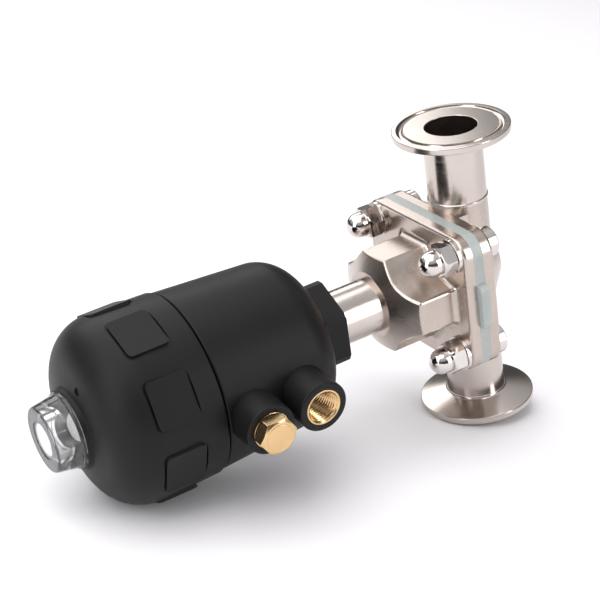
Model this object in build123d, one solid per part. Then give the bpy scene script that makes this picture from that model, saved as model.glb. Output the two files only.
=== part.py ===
from build123d import *
from math import acos, cos, radians, sin, sqrt, tan
from pathlib import Path

# Sanitary weir diaphragm valve with a spring-return piston actuator.
# World frame: pipe along +Z from the lower ferrule face, stem along -X.
# Stem frame: z is the height above the pipe axis (world -X), x is world -Y,
# y is world +Z, origin where the stem axis crosses the pipe axis.

face_to_face = 132.0
stem_level = face_to_face / 2
swivel_turn = -5.3

stem_frame = Plane(origin=(0, 0, stem_level), x_dir=(0, -1, 0), z_dir=(-1, 0, 0)).location
actuator_frame = stem_frame * Rotation(0, 0, swivel_turn)

parts = Path("parts")
parts.mkdir(exist_ok=True)
written = []


def save(name, shape, frame=None):
    if frame is not None:
        shape = frame * shape
    solids = shape.solids()
    solid = solids[0] if len(solids) == 1 else Compound(solids)
    if len(solids) != 1:
        print("note:", name, "has", len(solids), "solids")
    export_step(solid, str(parts / (name + ".step")))
    written.append((name, sum(s.volume for s in solids)))


def outline(corners):
    """Face in the XZ plane through (radius, height, corner radius) points."""
    points = [Vector(c[0], 0, c[1]) for c in corners]
    rounds = [c[2] if len(c) > 2 else 0 for c in corners]
    count = len(points)
    into, out, arcs = [], [], []
    for i, point in enumerate(points):
        if rounds[i] == 0:
            into.append(point)
            out.append(point)
            arcs.append(None)
            continue
        back = (points[i - 1] - point).normalized()
        ahead = (points[(i + 1) % count] - point).normalized()
        half = acos(max(-1.0, min(1.0, back.dot(ahead)))) / 2
        reach = rounds[i] / tan(half)
        middle = (back + ahead).normalized()
        into.append(point + back * reach)
        out.append(point + ahead * reach)
        top = point + middle * (rounds[i] / sin(half) - rounds[i])
        arcs.append(ThreePointArc(into[i], top, out[i]))
    edges = []
    for i in range(count):
        if arcs[i] is not None:
            edges += arcs[i].edges()
        following = into[(i + 1) % count]
        if (following - out[i]).length > 1e-6:
            edges += Line(out[i], following).edges()
    return make_face(edges)


def turned(corners):
    return revolve(outline(corners), axis=Axis.Z)


def ring(inner, outer, low, high, soft=0):
    return turned([(inner, low, soft), (outer, low, soft), (outer, high, soft), (inner, high, soft)])


def rod(radius, low, high, soft=0):
    return turned([(0, low), (radius, low, soft), (radius, high, soft), (0, high)])


def plate(width, height, corner, low, high):
    return Pos(0, 0, low) * extrude(RectangleRounded(width, height, corner), amount=high - low)


def bar(radius, start, end):
    """Rod along local x from start to end, centred on the local origin."""
    return Pos(start, 0, 0) * Rotation(0, 90, 0) * extrude(Circle(radius), amount=end - start)


def hexagon(across, low, high):
    return Pos(0, 0, low) * extrude(RegularPolygon(across / 2, 6, major_radius=False), amount=high - low)


def soften(shape, edges, sizes):
    """Fillet with the largest size the kernel accepts."""
    for size in sizes:
        try:
            rounded = fillet(edges, size)
            if rounded.is_valid and rounded.volume > 0:
                return rounded
        except Exception:
            continue
    print("note: an edge stays sharp")
    return shape


def coil(mean, wire, turns, low, high):
    """Compression spring between two flat seats."""
    run = high - low - 2 * wire
    path = Helix(pitch=run / turns, height=run, radius=mean)
    section = Plane(origin=path @ 0, z_dir=path % 0) * Circle(wire)
    return Pos(0, 0, low + wire) * sweep(section, path=path, is_frenet=True)


# weir body
pipe_outer = 12.7
pipe_bore = 11.0
ferrule_bore = 11.2
body_half_length = 33.0
flange_width = 71.0
flange_height = 62.0
flange_corner = 9.0
body_flange_low = 9.0
body_flange_high = 14.5
bolt_spread_x = 27.0
bolt_spread_y = 23.0
bolt_hole = 4.5
dish_centre = 21.0
dish_radius = 19.0
cup_radius = 17.9


def along_pipe(radius, half_length):
    return Rotation(90, 0, 0) * Pos(0, 0, -half_length) * extrude(Circle(radius), amount=2 * half_length)


def bolt_places():
    return [(sx * bolt_spread_x, sy * bolt_spread_y) for sx in (1, -1) for sy in (1, -1)]


def bolt_holes(low, high):
    cut = None
    for x, y in bolt_places():
        hole = Pos(x, y, 0) * rod(bolt_hole, low, high)
        cut = hole if cut is None else cut + hole
    return cut


def weir_block():
    section = Polygon((-14, -13), (14, -13), (5, 0), (3.6, 16), (-3.6, 16), (-5, 0), align=None)
    wall = Pos(-30, 0, 0) * Rotation(90, 0, 90) * extrude(section, amount=60)
    crest = Pos(0, 0, dish_centre) * along_pipe(dish_radius, 40)
    return wall - crest


def valve_body():
    flange = plate(flange_width, flange_height, flange_corner, body_flange_low, body_flange_high)
    back_edges = flange.edges().filter_by(Plane.XY).sort_by(Axis.Z)[:8]
    flange = soften(flange, back_edges, (1.6, 1.0, 0.6))
    bowl = turned([(0, -14.4), (8, -14.4, 6), (25.5, 4, 5), (25.5, 12), (0, 12)])
    saddle = Pos(0, 0, 5) * Box(2 * pipe_outer - 1.2, 60, 10)
    outer = along_pipe(pipe_outer, body_half_length) + flange + bowl + saddle
    cup = turned([(0, -8), (6, -8, 4), (cup_radius, 6.5, 4), (cup_radius, 20), (0, 20)])
    flow = along_pipe(pipe_bore, body_half_length + 5) + cup - weir_block()
    return outer - flow - bolt_holes(0, 20)


save("valve_body", valve_body(), stem_frame)

# ferrules
ferrule_radius = 25.25
ferrule_rim = 2.85
cone_angle = 13.0
ferrule_length = stem_level - body_half_length
groove_centre = 21.7
groove_radius = 1.6
rim_split = 7.2


def ferrule():
    cone_top = ferrule_rim + (ferrule_radius - pipe_outer) * tan(radians(cone_angle))
    shell = turned([
        (ferrule_bore, 0, 0.3), (ferrule_radius, 0, 0.5), (ferrule_radius, ferrule_rim, 0.5),
        (pipe_outer, cone_top, 1.4), (pipe_outer, rim_split), (ferrule_bore, rim_split)])
    return shell - Torus(groove_centre, groove_radius)


def ferrule_tube():
    bead = pipe_outer + 0.35
    return turned([
        (ferrule_bore, rim_split), (pipe_outer, rim_split), (pipe_outer, ferrule_length - 1.8),
        (bead, ferrule_length - 1.4, 0.3), (bead, ferrule_length - 0.2, 0.15),
        (pipe_outer, ferrule_length), (ferrule_bore, ferrule_length)])


upper_end = Pos(0, 0, face_to_face) * Rotation(180, 0, 0)
save("lower_ferrule", ferrule())
save("lower_ferrule_tube", ferrule_tube())
save("upper_ferrule", ferrule(), upper_end)
save("upper_ferrule_tube", ferrule_tube(), upper_end)

# diaphragm and seat
backing_low = 16.1
backing_high = 17.7
bonnet_low = 19.4
backing_width = 60.0
backing_height = 51.0
backing_corner = 7.0
tab_length = 20.0
tab_reach = 2.6


def backing_plate(low, high, gap=0.0):
    return plate(backing_width + gap, backing_height + gap, backing_corner + gap / 2, low, high)


def diaphragm_sheet():
    sheet = plate(flange_width, flange_height, flange_corner, body_flange_high, bonnet_low)
    tongue = plate(flange_width + 2 * tab_reach, tab_length, 2.5, body_flange_high, bonnet_low - 0.6)
    return sheet + tongue - backing_plate(backing_low, 30, 0.2)


def dished(sheet, sheet_high, outer, inner):
    bowl = turned([(0, dish_centre - outer - 1), (outer + 1, dish_centre - outer - 1),
                   (outer + 1, sheet_high), (0, sheet_high)])
    dome = Pos(0, 0, dish_centre) * Sphere(outer) & bowl
    hollow = Pos(0, 0, dish_centre) * Sphere(inner)
    return sheet + dome - hollow - bolt_holes(0, 30)


diaphragm_outer = dish_radius - 0.05
save("diaphragm", dished(diaphragm_sheet(), backing_low, diaphragm_outer, 16.95), stem_frame)
save("diaphragm_backing", dished(backing_plate(backing_low, backing_high), backing_high, 16.9, 14.9),
     stem_frame)

nose_radius = 14.85
compressor_top = 26.0
stem_low = 14.0
stem_radius = 5.0
cross_pin_level = 21.5


def compressor():
    nose = Pos(0, 0, dish_centre) * Sphere(nose_radius) & rod(nose_radius + 1, 0, 18)
    drum = turned([(0, 17.5), (14.4, 17.5), (15.4, 19, 0.5), (15.4, compressor_top, 1.0),
                   (0, compressor_top)])
    socket = rod(stem_radius + 0.02, stem_low, 40)
    return nose + drum - socket - rod(2.55, 0, 20) - Pos(0, 0, cross_pin_level) * bar(1.5, -12, 12)


save("compressor", compressor(), stem_frame)
save("compressor_pin", Pos(0, 0, cross_pin_level) * bar(1.48, -11.5, 11.5), stem_frame)
save("diaphragm_stud", rod(2.5, 6.5, 13.9, 0.3), stem_frame)

# bonnet
bonnet_flange_top = 24.0
hub_top = 50.0
neck_radius = 12.0
neck_seat = 42.0


def hub_outline():
    """Four lobes, with a hollow facing each nut."""
    arm, hollow, root, lobe = (27.6, 7.7), (20.3, 10.2), (14.3, 14.7), (8.0, 21.6)
    edges = []
    for sx, sy in ((1, 1), (-1, 1), (-1, -1), (1, -1)):
        a, b, c, d = [(sx * x, sy * y) for x, y in (arm, hollow, root, lobe)]
        edges += ThreePointArc(a, b, c).edges() + Line(c, d).edges()
    for x, y in ((1, 1), (-1, -1)):
        edges += Line((arm[0] * x, -arm[1]), (arm[0] * x, arm[1])).edges()
        edges += Line((-lobe[0], lobe[1] * y), (lobe[0], lobe[1] * y)).edges()
    return make_face(edges)


def bonnet():
    flange = plate(flange_width, flange_height, flange_corner, bonnet_low, bonnet_flange_top)
    rim = flange.edges().filter_by(Plane.XY).sort_by(Axis.Z)[-8:]
    flange = soften(flange, rim, (1.5, 1.0, 0.5))
    prism = Pos(0, 0, 20) * extrude(hub_outline(), amount=40, dir=(0, 0, 1))
    prism = soften(prism, prism.edges().filter_by(Axis.Z), (1.4, 1.0, 0.6))
    cone = turned([(0, 15), (40, 15), (40, 36), (14.6, hub_top, 1.0), (0, hub_top)])
    hub = prism & cone
    ridge = [e for e in hub.edges() if 37 < e.center().Z < 49.5 and e.center().Z < hub_top - 0.6]
    hub = soften(hub, ridge, (1.2, 0.8, 0.4))
    solid = flange + hub + backing_plate(backing_high, bonnet_low + 0.5)
    root = [e for e in solid.edges()
            if abs(e.center().Z - bonnet_flange_top) < 0.05 and abs(e.center().X) < 28.5
            and abs(e.center().Y) < 23.5]
    solid = soften(solid, root, (3.0, 2.0, 1.2, 0.8))
    cavity = turned([(0, 10), (16.2, 10), (16.2, 39, 2), (0, 39)])
    neck_hole = rod(neck_radius + 0.02, neck_seat, 60)
    return solid - cavity - neck_hole - rod(stem_radius + 0.05, 30, 60) - bolt_holes(10, 40)


save("bonnet", bonnet(), stem_frame)

# fasteners
washer_thickness = 1.6
nut_base = bonnet_flange_top + washer_thickness
nut_across = 13.0
head_low = 4.2


def cap_screw():
    head = turned([(0, head_low), (6.5, head_low, 0.8), (6.5, body_flange_low, 0.3), (0, body_flange_low)])
    socket = hexagon(6.0, head_low, head_low + 2.6)
    shank = rod(4.0, body_flange_low - 0.5, nut_base + 8.0, 0)
    return head + shank - socket


def acorn_nut():
    blank = hexagon(nut_across, 0, 6.6) & turned([
        (0, 0), (6.4, 0), (7.5, 0.65), (7.5, 5.6), (6.3, 6.6), (0, 6.6)])
    dome_radius = 5.5
    dome_level = 8.9
    dome = turned([(0, 6), (5.2, 6), (5.2, 7.0, 0.15), (dome_radius, 7.3, 0.15),
                   (dome_radius, dome_level), (0, dome_level)])
    cap = Pos(0, 0, dome_level) * Sphere(dome_radius) & rod(8, dome_level, 20)
    return blank + dome + cap - rod(4.02, -1, 9.5)


nut_turns = (8, -20, 14, 3)
for number, (x, y) in enumerate(bolt_places(), start=1):
    place = stem_frame * Pos(x, y, 0)
    save("cap_screw_%d" % number, cap_screw(), place)
    save("nut_washer_%d" % number, ring(4.2, 7.5, bonnet_flange_top, nut_base, 0.15), place)
    nut_place = place * Pos(0, 0, nut_base) * Rotation(0, 0, nut_turns[number - 1])
    save("acorn_nut_%d" % number, acorn_nut(), nut_place)

# neck and bearings
neck_top = 92.0
neck_bore = 8.5
collar_low = 73.0
collar_high = 76.0
floor_inner = 86.0


def neck_tube():
    return turned([
        (neck_bore, neck_seat), (neck_radius, neck_seat, 0.4), (neck_radius, collar_low),
        (13.5, collar_low, 0.3), (13.5, collar_high), (neck_radius, collar_high),
        (neck_radius, neck_top, 0.5), (neck_bore, neck_top)])


save("neck_tube", neck_tube(), stem_frame)
save("lower_stem_guide", ring(stem_radius + 0.05, neck_bore, neck_seat + 0.1, 54, 0.3), stem_frame)
save("stem_seal", ring(stem_radius + 0.03, neck_bore, 72, 75.5, 0.6), stem_frame)
save("upper_stem_guide", ring(stem_radius + 0.05, neck_bore, 76, 91.5, 0.3), stem_frame)
save("neck_nut", hexagon(30, floor_inner + 0.05, neck_top - 0.5) - rod(neck_radius, 80, 100), stem_frame)

# actuator housing
hex_low = 72.0
housing_low = 83.5
hex_turn = 36.0
housing_high = 141.7
piston_bore = 32.0
spigot_level = 134.0
port_levels = (106.3, 130.25)
boss_radius = 10.7
boss_face = 50.6
insert_radius = 7.8
insert_depth = 14.0
thread_radius = 5.73
mouth_radius = 7.0
mouth_depth = 1.3
air_hole = 2.0
plug_turn = 2.0


def foot_hexagon():
    flats = hexagon(35.2, hex_low, housing_low + 4)
    corners = Rotation(0, 0, 30) * hexagon(38.9, hex_low, housing_low + 4)
    foot = Rotation(0, 0, hex_turn) * (flats & corners)
    return soften(foot, foot.edges().filter_by(Plane.XY).sort_by(Axis.Z)[:12], (0.5, 0.3))


def housing():
    shell = turned([
        (neck_radius + 0.06, housing_low), (34.8, housing_low, 16), (38.3, housing_high, 0.8),
        (34.6, housing_high), (34.6, spigot_level), (piston_bore, spigot_level),
        (piston_bore, floor_inner, 13), (neck_radius + 0.06, floor_inner)])
    foot = foot_hexagon() - rod(neck_radius + 0.06, 60, 100) - rod(13.56, 60, collar_high + 0.05)
    foot = foot & rod(30, hex_low, housing_low + 1.5)
    solid = shell + foot
    for level in port_levels:
        boss = Pos(0, 0, level) * bar(boss_radius, 33.5, boss_face)
        boss = soften(boss, boss.edges().sort_by(Axis.X)[-1:], (0.9, 0.5))
        pocket = Pos(0, 0, level) * bar(insert_radius, boss_face - insert_depth, boss_face + 2)
        air = Pos(0, 0, level) * bar(air_hole, 25, boss_face)
        solid = solid + boss - pocket - air
    inside = rod(piston_bore, floor_inner + 13, spigot_level) + rod(34.6, spigot_level, 150)
    return solid - inside - ring(10, neck_radius + 1.0, 82.5, 83.5)


save("actuator_housing", housing(), actuator_frame)


def port_insert():
    sleeve = turned([
        (thread_radius, 0), (insert_radius, 0), (insert_radius, insert_depth, 0.3),
        (mouth_radius, insert_depth), (thread_radius, insert_depth - mouth_depth)])
    return Rotation(0, 90, 0) * sleeve


for number, level in enumerate(port_levels, start=1):
    save("port_insert_%d" % number, port_insert(),
         actuator_frame * Pos(boss_face - insert_depth, 0, level))


def port_plug():
    shank = rod(thread_radius - 0.05, -10, 0.6)
    head = hexagon(14.4, 0, 5.2) & turned([(0, 0), (8.2, 0), (8.2, 4.3), (6.7, 5.2), (0, 5.2)])
    face = turned([(0, 5), (5.7, 5), (5.7, 5.45, 0.2), (0, 5.45)])
    return Rotation(0, 90, 0) * Rotation(0, 0, plug_turn) * (shank + head + face)


plug_place = actuator_frame * Pos(boss_face + 0.8, 0, port_levels[1])
save("port_plug", port_plug(), plug_place)
save("plug_washer", Rotation(0, 90, 0) * ring(thread_radius + 0.2, 7.0, 0, 0.8, 0.1),
     actuator_frame * Pos(boss_face, 0, port_levels[1]))

# actuator cover
cover_edge = 142.3
cover_radius = 39.0
shoulder_radius = 40.2
shoulder_level = 184.0
cover_end = 190.4
cap_seat = 192.4
pad_low = 153.5
pad_high = 171.0
pad_width = 20.0
pad_plane = 39.6
pad_start = 29.3
pad_count = 8
ledge_level = 182.6
cap_thread = 9.9
mark_angles = (71.0, 251.0)
mark_radius = 21.5
mark_level = 188.7


def pad_prism(grow, inner, outer):
    span = pad_high - pad_low
    face = RectangleRounded(span + 2 * grow, pad_width + 2 * grow, 2.2 + grow)
    middle = (pad_low + pad_high) / 2
    return Pos(inner, 0, middle) * Rotation(0, 90, 0) * extrude(face, amount=outer - inner)


def cover():
    solid = turned([
        (piston_bore, spigot_level + 0.2), (34.5, spigot_level + 0.2, 0.4), (34.5, cover_edge),
        (cover_radius, cover_edge, 0.9), (shoulder_radius, shoulder_level, 20), (17.4, cover_end, 0.8),
        (16.7, cap_seat, 0.3), (cap_thread + 0.05, cap_seat), (cap_thread + 0.05, ledge_level),
        (28.5, ledge_level, 3), (35.4, 170, 8), (35.6, 150), (piston_bore, 146)])
    for number in range(pad_count):
        turn = Rotation(0, 0, pad_start + number * 360 / pad_count)
        moat = pad_prism(1.0, 38.3, 50) - pad_prism(0, 30, 55)
        solid = solid - turn * moat
        solid = solid - turn * pad_prism(0, pad_plane, 50)
        solid = solid + turn * pad_prism(0, 37.0, pad_plane)
    for angle in mark_angles:
        place = Rotation(0, 0, angle) * Pos(mark_radius, 0, 0)
        solid = solid - place * rod(1.6, mark_level, 200)
    return solid - ring(33.5, 36, 137.4, 138.6)


save("actuator_cover", cover(), actuator_frame)

# position cap
cap_base = 193.9
cap_front = 203.85
window_radius = 7.4


def indicator_cap():
    return turned([
        (window_radius, 184.0), (cap_thread, 184.0, 0.4), (cap_thread, cap_seat),
        (16.0, cap_seat, 0.3), (16.0, cap_base, 0.4), (15.3, cap_base, 0.2),
        (13.7, cap_front, 1.1), (8.2, cap_front), (7.8, cap_front - 0.4), (0, cap_front - 0.4),
        (0, 202.4), (window_radius, 202.4, 0.6)])


save("indicator_cap", indicator_cap(), actuator_frame)
save("spring_seat", ring(10.2, 25.4, 181.0, ledge_level, 0.3), actuator_frame)

# piston and stem
piston_low = 109.0
piston_high = 118.5
seal_radius = 31.95


def piston():
    return turned([
        (4.02, piston_low), (27, piston_low, 1), (28, piston_low + 1), (31.7, piston_low + 1),
        (31.7, 110.8), (28.8, 110.8), (28.8, 113.8), (31.7, 113.8), (31.7, 115.0),
        (30.4, 115.0), (30.4, 117.2), (31.7, 117.2), (31.7, piston_high, 0.4), (4.02, piston_high)])


save("piston", piston(), stem_frame)
save("piston_seal", ring(28.8, seal_radius, 110.85, 113.75, 0.5), stem_frame)
save("piston_guide_ring", ring(30.4, seal_radius, 115.05, 117.15, 0.2), stem_frame)
save("stem", turned([
    (0, stem_low), (stem_radius, stem_low, 0.5), (stem_radius, piston_low), (4.0, piston_low),
    (4.0, 128, 0.4), (0, 128)]) - Pos(0, 0, cross_pin_level) * bar(1.5, -8, 8), stem_frame)
save("piston_washer", ring(4.1, 8.5, piston_high, piston_high + 1.6, 0.2), stem_frame)
save("piston_nut", hexagon(13, piston_high + 1.6, piston_high + 8.1) - rod(4.02, 100, 140), stem_frame)
save("indicator_pin", turned([
    (0, 128.05), (4.2, 128.05, 0.4), (4.2, 136, 0.4), (2.5, 138), (2.5, 187.4), (0, 187.4)]), stem_frame)
save("indicator_disc", turned([
    (2.52, 184.6), (6.6, 184.6, 0.4), (6.6, 190.0, 0.8), (0, 190.0), (0, 187.42),
    (2.52, 187.42)]), stem_frame)

save("outer_spring", coil(22.5, 2.0, 6.5, piston_high, 181.0), actuator_frame)
save("inner_spring", coil(14.8, 1.35, 9.5, piston_high, 181.0), actuator_frame)

# seals
save("cover_oring", Pos(0, 0, 138) * Torus(34.05, 0.5), actuator_frame)
save("neck_oring", Pos(0, 0, 83) * Torus(neck_radius + 0.5, 0.4), actuator_frame)

for name, volume in written:
    print("%-22s %10.1f mm3" % (name, volume))
print(len(written), "nodes")
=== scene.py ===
import bpy
from math import cos, pi, radians, sin
from mathutils import Matrix, Vector


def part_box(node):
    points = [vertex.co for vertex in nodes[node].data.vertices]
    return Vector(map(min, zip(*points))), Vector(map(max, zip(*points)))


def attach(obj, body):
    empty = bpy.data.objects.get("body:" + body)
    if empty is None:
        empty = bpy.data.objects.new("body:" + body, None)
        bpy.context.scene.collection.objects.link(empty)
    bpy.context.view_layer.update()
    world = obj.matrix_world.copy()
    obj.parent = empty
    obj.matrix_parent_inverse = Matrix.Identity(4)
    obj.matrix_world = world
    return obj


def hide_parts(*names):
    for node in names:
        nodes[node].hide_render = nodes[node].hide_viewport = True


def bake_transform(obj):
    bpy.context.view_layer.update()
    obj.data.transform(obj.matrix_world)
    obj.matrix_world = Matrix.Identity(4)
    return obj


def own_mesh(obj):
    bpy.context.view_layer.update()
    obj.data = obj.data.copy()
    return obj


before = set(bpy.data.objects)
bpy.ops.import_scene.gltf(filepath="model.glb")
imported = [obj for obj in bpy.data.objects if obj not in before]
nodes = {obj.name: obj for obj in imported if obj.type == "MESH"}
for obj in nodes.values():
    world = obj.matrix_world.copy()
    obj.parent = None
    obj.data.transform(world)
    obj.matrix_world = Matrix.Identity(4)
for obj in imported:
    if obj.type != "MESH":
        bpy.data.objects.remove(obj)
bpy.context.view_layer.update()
print("frame loaded:", len(nodes), "nodes")


def newGroup(name, inputs, outputs):
    group = bpy.data.node_groups.new(name, "ShaderNodeTree")
    for label, kind, value in inputs:
        socket = group.interface.new_socket(label, in_out="INPUT", socket_type=kind)
        socket.default_value = value
    for label, kind in outputs:
        group.interface.new_socket(label, in_out="OUTPUT", socket_type=kind)
    entry = group.nodes.new("NodeGroupInput")
    leave = group.nodes.new("NodeGroupOutput")
    return group, entry, leave


def addNode(tree, kind, values=None, **settings):
    node = tree.nodes.new(kind)
    for key, value in settings.items():
        setattr(node, key, value)
    for key, value in (values or {}).items():
        node.inputs[key].default_value = value
    return node


def mixColour(tree, factor, first, second, blend="MIX"):
    node = tree.nodes.new("ShaderNodeMix")
    node.data_type = "RGBA"
    node.blend_type = blend
    for index, value in ((0, factor), (6, first), (7, second)):
        if isinstance(value, bpy.types.NodeSocket):
            tree.links.new(value, node.inputs[index])
        else:
            node.inputs[index].default_value = value
    return node.outputs[2]


def mapRange(tree, value, low, high):
    node = tree.nodes.new("ShaderNodeMapRange")
    tree.links.new(value, node.inputs["Value"])
    node.inputs["To Min"].default_value = low
    node.inputs["To Max"].default_value = high
    return node.outputs[0]


def buildGrain():
    # even pitted texture of a mould or a blasted casting
    group, entry, leave = newGroup(
        "surfaceGrain",
        [("Scale", "NodeSocketFloat", 900.0), ("Patch Scale", "NodeSocketFloat", 40.0)],
        [("Height", "NodeSocketFloat"), ("Patches", "NodeSocketFloat")])
    place = addNode(group, "ShaderNodeTexCoord")
    fine = addNode(group, "ShaderNodeTexNoise", {"Detail": 3.0, "Roughness": 0.6})
    broad = addNode(group, "ShaderNodeTexNoise", {"Detail": 4.0, "Roughness": 0.55})
    for texture, label in ((fine, "Scale"), (broad, "Patch Scale")):
        group.links.new(place.outputs["Object"], texture.inputs["Vector"])
        group.links.new(entry.outputs[label], texture.inputs["Scale"])
    group.links.new(fine.outputs["Fac"], leave.inputs["Height"])
    group.links.new(broad.outputs["Fac"], leave.inputs["Patches"])
    return group


def buildTurning():
    # fine rings left by turning, spaced along one direction
    group, entry, leave = newGroup(
        "turningMarks",
        [("Along", "NodeSocketVector", (0.0, 0.0, 1.0)), ("Lines", "NodeSocketFloat", 4000.0)],
        [("Height", "NodeSocketFloat"), ("Streaks", "NodeSocketFloat")])
    place = addNode(group, "ShaderNodeTexCoord")
    dot = addNode(group, "ShaderNodeVectorMath", operation="DOT_PRODUCT")
    group.links.new(place.outputs["Object"], dot.inputs[0])
    group.links.new(entry.outputs["Along"], dot.inputs[1])
    times = addNode(group, "ShaderNodeMath", operation="MULTIPLY")
    group.links.new(dot.outputs["Value"], times.inputs[0])
    group.links.new(entry.outputs["Lines"], times.inputs[1])
    line = addNode(group, "ShaderNodeTexNoise", {"Scale": 1.0, "Detail": 2.0}, noise_dimensions="1D")
    group.links.new(times.outputs[0], line.inputs["W"])
    slow = addNode(group, "ShaderNodeMath", operation="MULTIPLY")
    slow.inputs[1].default_value = 0.12
    group.links.new(times.outputs[0], slow.inputs[0])
    streak = addNode(group, "ShaderNodeTexNoise", {"Scale": 1.0, "Detail": 3.0}, noise_dimensions="1D")
    group.links.new(slow.outputs[0], streak.inputs["W"])
    group.links.new(line.outputs["Fac"], leave.inputs["Height"])
    group.links.new(streak.outputs["Fac"], leave.inputs["Streaks"])
    return group


grainGroup = buildGrain()
turningGroup = buildTurning()


def useGroup(tree, group, values):
    node = tree.nodes.new("ShaderNodeGroup")
    node.node_tree = group
    for key, value in values.items():
        node.inputs[key].default_value = value
    return node


def bumpFrom(tree, height, strength, distance, normal=None):
    bump = addNode(tree, "ShaderNodeBump", {"Strength": strength, "Distance": distance})
    tree.links.new(height, bump.inputs["Height"])
    if normal is not None:
        tree.links.new(normal, bump.inputs["Normal"])
    return bump.outputs["Normal"]


def newMaterial(name, look):
    material = bpy.data.materials.new(name)
    material.use_nodes = True
    tree = material.node_tree
    shader = tree.nodes["Principled BSDF"]
    shader.inputs["Metallic"].default_value = look.get("metallic", 0.0)
    shader.inputs["IOR"].default_value = look.get("ior", 1.5)
    shader.inputs["Specular IOR Level"].default_value = look.get("specular", 0.5)
    shader.inputs["Transmission Weight"].default_value = look.get("transmission", 0.0)
    shader.inputs["Subsurface Weight"].default_value = look.get("subsurface", 0.0)
    shader.inputs["Subsurface Radius"].default_value = (0.003, 0.003, 0.003)
    shader.inputs["Subsurface Scale"].default_value = 1.0
    return material, tree, shader


def grainMaterial(name, look):
    material, tree, shader = newMaterial(name, look)
    grain = useGroup(tree, grainGroup, {"Scale": look["grain"], "Patch Scale": look["patch"]})
    patches = grain.outputs["Patches"]
    colour = mixColour(tree, mapRange(tree, patches, 0.0, 1.0), look["dark"], look["light"])
    tree.links.new(colour, shader.inputs["Base Color"])
    rough = mapRange(tree, patches, *look["roughness"])
    tree.links.new(rough, shader.inputs["Roughness"])
    normal = bumpFrom(tree, grain.outputs["Height"], look["bump"], look["depth"])
    tree.links.new(normal, shader.inputs["Normal"])
    return material


def turnedMaterial(name, look):
    material, tree, shader = newMaterial(name, look)
    marks = useGroup(tree, turningGroup, {"Along": look["along"], "Lines": look["lines"]})
    grain = useGroup(tree, grainGroup, {"Scale": look["grain"], "Patch Scale": look["patch"]})
    colour = mixColour(tree, mapRange(tree, grain.outputs["Patches"], 0.0, 1.0), look["dark"], look["light"])
    tree.links.new(colour, shader.inputs["Base Color"])
    rough = mapRange(tree, marks.outputs["Streaks"], *look["roughness"])
    tree.links.new(rough, shader.inputs["Roughness"])
    first = bumpFrom(tree, marks.outputs["Height"], look["bump"], look["depth"])
    second = bumpFrom(tree, grain.outputs["Height"], look["bump"] * 0.5, look["depth"], first)
    tree.links.new(second, shader.inputs["Normal"])
    return material


# finishes: colours run from dark to light over broad patches
castSteelLook = {
    "metallic": 1.0, "dark": (0.42, 0.355, 0.315, 1), "light": (0.60, 0.53, 0.48, 1),
    "grain": 900.0, "patch": 60.0, "roughness": (0.20, 0.34), "bump": 0.06, "depth": 0.0001}
tubeSteelLook = {
    "metallic": 1.0, "dark": (0.50, 0.44, 0.40, 1), "light": (0.66, 0.60, 0.56, 1), "along": (0, 0, 1),
    "lines": 5000.0, "grain": 900.0, "patch": 40.0, "roughness": (0.12, 0.26), "bump": 0.05,
    "depth": 0.0001}
neckSteelLook = dict(tubeSteelLook, along=(1, 0, 0))
nutLook = {
    "metallic": 1.0, "dark": (0.60, 0.56, 0.54, 1), "light": (0.76, 0.72, 0.70, 1), "along": (1, 0, 0),
    "lines": 2500.0, "grain": 700.0, "patch": 120.0,
    "roughness": (0.05, 0.12), "bump": 0.03, "depth": 0.0001}
brassLook = {
    "metallic": 1.0, "dark": (0.60, 0.39, 0.17, 1), "light": (0.83, 0.60, 0.34, 1), "along": (0, 1, 0),
    "lines": 3500.0, "grain": 900.0, "patch": 130.0,
    "roughness": (0.18, 0.30), "bump": 0.07, "depth": 0.0001}
blackLook = {
    "dark": (0.0055, 0.0052, 0.0056, 1), "light": (0.0105, 0.0098, 0.0096, 1), "specular": 0.20,
    "grain": 2200.0, "patch": 26.0, "roughness": (0.38, 0.54), "bump": 0.16, "depth": 0.0002}
pistonLook = dict(blackLook, dark=(0.02, 0.02, 0.022, 1), light=(0.03, 0.03, 0.032, 1))
whiteLook = {
    "dark": (0.74, 0.74, 0.73, 1), "light": (0.84, 0.84, 0.83, 1), "grain": 800.0, "patch": 60.0,
    "roughness": (0.30, 0.42), "bump": 0.05, "depth": 0.0002}
rubberLook = {
    "dark": (0.010, 0.010, 0.011, 1), "light": (0.02, 0.02, 0.021, 1), "grain": 1200.0, "patch": 80.0,
    "roughness": (0.5, 0.65), "bump": 0.1, "depth": 0.0002, "specular": 0.3}
diaphragmLook = {
    "dark": (0.34, 0.37, 0.36, 1), "light": (0.47, 0.50, 0.49, 1), "grain": 700.0, "patch": 70.0,
    "roughness": (0.28, 0.40), "bump": 0.06, "depth": 0.0002, "subsurface": 0.2, "specular": 0.4}
springLook = dict(neckSteelLook, dark=(0.30, 0.30, 0.31, 1), light=(0.45, 0.45, 0.46, 1))
stemLook = dict(neckSteelLook, dark=(0.45, 0.44, 0.43, 1), light=(0.58, 0.57, 0.56, 1))

castSteel = grainMaterial("castSteel", castSteelLook)
tubeSteel = turnedMaterial("tubeSteel", tubeSteelLook)
neckSteel = turnedMaterial("neckSteel", neckSteelLook)
nutSteel = turnedMaterial("nutSteel", nutLook)
brass = turnedMaterial("brass", brassLook)
blackPlastic = grainMaterial("blackPlastic", blackLook)
pistonPlastic = grainMaterial("pistonPlastic", pistonLook)
whitePlastic = grainMaterial("whitePlastic", whiteLook)
blackRubber = grainMaterial("blackRubber", rubberLook)
diaphragmSilicone = grainMaterial("diaphragmSilicone", diaphragmLook)
springSteel = turnedMaterial("springSteel", springLook)
stemSteel = turnedMaterial("stemSteel", stemLook)

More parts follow.
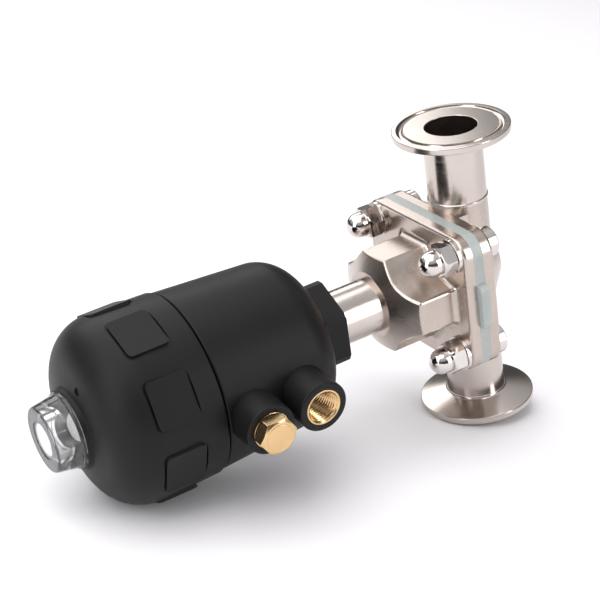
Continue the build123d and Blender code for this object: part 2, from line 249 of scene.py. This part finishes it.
clearLook = {"ior": 1.5, "transmission": 0.96, "colour": (0.97, 0.975, 0.98, 1), "grain": 500.0,
             "patch": 90.0, "roughness": (0.02, 0.10), "ripple": 0.12, "depth": 0.0006}


def clearMaterial():
    material, tree, shader = newMaterial("clearPlastic", clearLook)
    grain = useGroup(tree, grainGroup, {"Scale": clearLook["grain"], "Patch Scale": clearLook["patch"]})
    shader.inputs["Base Color"].default_value = clearLook["colour"]
    rough = mapRange(tree, grain.outputs["Patches"], *clearLook["roughness"])
    tree.links.new(rough, shader.inputs["Roughness"])
    normal = bumpFrom(tree, grain.outputs["Patches"], clearLook["ripple"], clearLook["depth"])
    tree.links.new(normal, shader.inputs["Normal"])
    return material


clearPlastic = clearMaterial()
print("materials made")

creaseAngle = radians(32)
finishOf = {
    castSteel: ["valve_body", "bonnet"],
    tubeSteel: ["lower_ferrule", "upper_ferrule", "lower_ferrule_tube", "upper_ferrule_tube"],
    neckSteel: ["neck_tube"],
    blackPlastic: ["actuator_housing", "actuator_cover"],
    brass: ["port_insert_1", "port_insert_2", "port_plug"],
    whitePlastic: ["indicator_disc", "lower_stem_guide", "upper_stem_guide", "piston_guide_ring"],
    blackRubber: ["plug_washer", "stem_seal", "piston_seal", "cover_oring", "neck_oring",
                  "diaphragm_backing"],
    diaphragmSilicone: ["diaphragm"],
    pistonPlastic: ["piston"],
    springSteel: ["outer_spring", "inner_spring"],
    stemSteel: ["stem", "piston_washer", "piston_nut", "indicator_pin", "compressor", "compressor_pin",
                "diaphragm_stud", "neck_nut", "spring_seat"],
    clearPlastic: ["indicator_cap"],
    nutSteel: [name % number for name in ("cap_screw_%d", "nut_washer_%d", "acorn_nut_%d")
               for number in (1, 2, 3, 4)],
}
for material, names in finishOf.items():
    for name in names:
        mesh = nodes[name].data
        mesh.materials.clear()
        mesh.materials.append(material)
        mesh.shade_smooth()
        mesh.set_sharp_from_angle(angle=creaseAngle)
print("finishes assigned")


def copyOf(name, label):
    source = nodes[name]
    piece = bpy.data.objects.new(label, source.data.copy())
    bpy.context.scene.collection.objects.link(piece)
    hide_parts(name)
    return piece


# springs and diaphragm are copied into their own pieces; the springs ride the actuator
level = (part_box("upper_ferrule")[1].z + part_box("lower_ferrule")[0].z) / 2

for name, label in (("outer_spring", "outerSpring"), ("inner_spring", "innerSpring")):
    piece = copyOf(name, label)
    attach(piece, "actuator")
    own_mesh(piece)

for name, label, slotName in (("diaphragm", "diaphragmSheet", "diaphragm_white"),
                              ("diaphragm_backing", "diaphragmBacking", "rubber_black")):
    piece = copyOf(name, label)
    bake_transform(piece)
print("springs and diaphragm made")

# open air port: the bore carries a real helical thread
portThread = {"pitch": 0.001337, "minor": 0.00574, "major": 0.00656, "mouth": 0.0070,
              "mouthDepth": 0.0012, "crest": 0.12, "flank": 1.32, "around": 72, "rowsPerTurn": 8}
portInsert = {"facing": -174.7, "depth": 0.0140, "outer": 0.00778, "bevel": 0.0002,
              "inset": 0.00001, "crease": 40}


def ringFaces(first, second, count):
    return [(first + i, first + (i + 1) % count, second + (i + 1) % count, second + i) for i in range(count)]


def threadRadius(angle, depth):
    phase = (depth / portThread["pitch"] + angle / (2 * pi)) % 1.0
    groove = 1.0 - abs(2 * phase - 1.0)
    groove = min(1.0, max(0.0, (groove - portThread["crest"]) * portThread["flank"]))
    radius = portThread["minor"] + (portThread["major"] - portThread["minor"]) * groove
    lead = max(0.0, 1.0 - depth / portThread["mouthDepth"])
    return max(radius, portThread["minor"] + (portThread["mouth"] - portThread["minor"]) * lead)


def makePortInsert():
    low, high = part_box("port_insert_1")
    turnedBy = radians(portInsert["facing"])
    outward = Vector((0, cos(turnedBy), sin(turnedBy)))
    sideways = Vector((1, 0, 0))
    upward = outward.cross(sideways)
    centre = (low + high) / 2
    depth, outer = portInsert["depth"], portInsert["outer"]
    inset, bevel = portInsert["inset"], portInsert["bevel"]
    face = centre + outward * (depth / 2 - inset)
    foot = depth - 2 * inset
    count = portThread["around"]
    rows = int(depth / portThread["pitch"] * portThread["rowsPerTurn"])
    verts, faces = [], []

    def addRing(radiusAt, down):
        start = len(verts)
        for i in range(count):
            angle = 2 * pi * i / count
            radius = radiusAt(angle)
            spoke = sideways * cos(angle) + upward * sin(angle)
            verts.append(face - outward * down + spoke * radius)
        return start

    rings = [addRing(lambda angle: outer, foot), addRing(lambda angle: outer, bevel),
             addRing(lambda angle: outer - bevel, 0.0)]
    for row in range(rows + 1):
        down = foot * row / rows
        rings.append(addRing(lambda angle: threadRadius(angle, down), down))
    rings.append(rings[0])
    for first, second in zip(rings, rings[1:]):
        faces += ringFaces(first, second, count)
    mesh = bpy.data.meshes.new("airPortInsert")
    mesh.from_pydata([tuple(v) for v in verts], [], faces)
    mesh.materials.append(brass)
    mesh.shade_smooth()
    mesh.set_sharp_from_angle(angle=radians(portInsert["crease"]))
    piece = bpy.data.objects.new("airPortInsert", mesh)
    bpy.context.scene.collection.objects.link(piece)
    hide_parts("port_insert_1")
    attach(piece, "actuator")


makePortInsert()
print("threaded port made")


# the valve lies on its cover and lower ferrule, so the floor is tilted in this frame
studio = {"floorTilt": 10.1, "floorDrop": 0.00443, "floorSize": 6.0, "paper": (0.93, 0.915, 0.94, 1),
          "paperRoughness": 0.9, "paperSpecular": 0.1, "airStrength": 0.62}
tilt = radians(studio["floorTilt"])
up = Vector((sin(tilt), 0, cos(tilt)))


def addFloor():
    mesh = bpy.data.meshes.new("floor")
    side = Vector((0, 1, 0))
    along = side.cross(up)
    half = studio["floorSize"] / 2
    centre = up * -studio["floorDrop"]
    corners = [centre + along * a * half + side * b * half
               for a, b in ((-1, -1), (1, -1), (1, 1), (-1, 1))]
    mesh.from_pydata(corners, [], [(0, 1, 2, 3)])
    floor = bpy.data.objects.new("floor", mesh)
    bpy.context.scene.collection.objects.link(floor)
    material = bpy.data.materials.new("floorPaper")
    material.use_nodes = True
    shader = material.node_tree.nodes["Principled BSDF"]
    shader.inputs["Base Color"].default_value = studio["paper"]
    shader.inputs["Roughness"].default_value = studio["paperRoughness"]
    shader.inputs["Specular IOR Level"].default_value = studio["paperSpecular"]
    mesh.materials.append(material)


addFloor()

lights = {
    "overhead": {"at": (-0.25, 0.10, 1.05), "size": (1.5, 1.3), "power": 10.0},
    "leftSoft": {"at": (-1.05, -0.25, 0.60), "size": (0.5, 0.9), "power": 4.2},
    "rightSoft": {"at": (0.55, -0.95, 0.35), "size": (0.30, 0.9), "power": 4.6},
    "backRim": {"at": (0.10, 1.10, 0.70), "size": (1.2, 0.5), "power": 4.0},
}
aim = Vector((-0.09, 0, level))
for name, light in lights.items():
    data = bpy.data.lights.new(name, "AREA")
    data.shape = "RECTANGLE"
    data.size, data.size_y = light["size"]
    data.energy = light["power"]
    lamp = bpy.data.objects.new(name, data)
    lamp.location = light["at"]
    lamp.rotation_mode = "QUATERNION"
    lamp.rotation_quaternion = (aim - lamp.location).to_track_quat("-Z", "Y")
    bpy.context.scene.collection.objects.link(lamp)


def addWorld():
    world = bpy.data.worlds.new("studioAir")
    bpy.context.scene.world = world
    world.use_nodes = True
    tree = world.node_tree
    ground = tree.nodes["Background"]
    place = tree.nodes.new("ShaderNodeTexCoord")
    split = tree.nodes.new("ShaderNodeSeparateXYZ")
    tree.links.new(place.outputs["Generated"], split.inputs[0])
    ramp = tree.nodes.new("ShaderNodeValToRGB")
    heights = tree.nodes.new("ShaderNodeMapRange")
    heights.inputs["From Min"].default_value = -1.0
    tree.links.new(split.outputs["Z"], heights.inputs["Value"])
    tree.links.new(heights.outputs[0], ramp.inputs["Fac"])
    # brightness by height, from straight below to straight above
    stops = [(0.0, 0.75), (0.46, 0.62), (0.53, 0.14), (0.66, 0.10), (0.76, 0.80), (1.0, 1.30)]
    elements = ramp.color_ramp.elements
    for element, (position, value) in zip(elements, (stops[0], stops[-1])):
        element.position = position
        element.color = (value, value, value, 1)
    for position, value in stops[1:-1]:
        elements.new(position).color = (value, value, value * 1.01, 1)
    path = tree.nodes.new("ShaderNodeLightPath")
    white = mixColour(tree, path.outputs["Is Camera Ray"], ramp.outputs["Color"], (1, 1, 1, 1))
    tree.links.new(white, ground.inputs["Color"])
    ground.inputs["Strength"].default_value = studio["airStrength"]


addWorld()
bpy.context.scene.view_settings.view_transform = "Standard"
print("floor and lights set")

shot = {"at": (-0.3896, -0.5732, 0.4140), "along": (0.420, 0.785, -0.456), "right": (0.841, -0.525, -0.130),
        "focal": 106.26}
camera = bpy.data.objects.new("camera", bpy.data.cameras.new("camera"))
bpy.context.scene.collection.objects.link(camera)
camera.data.lens = shot["focal"]
back = -Vector(shot["along"]).normalized()
right = Vector(shot["right"])
right = (right - back * right.dot(back)).normalized()
rise = back.cross(right)
turn = Matrix((right, rise, back)).transposed().to_4x4()
camera.matrix_world = Matrix.Translation(shot["at"]) @ turn
camera.data.clip_start, camera.data.clip_end = 0.01, 50
bpy.context.scene.camera = camera
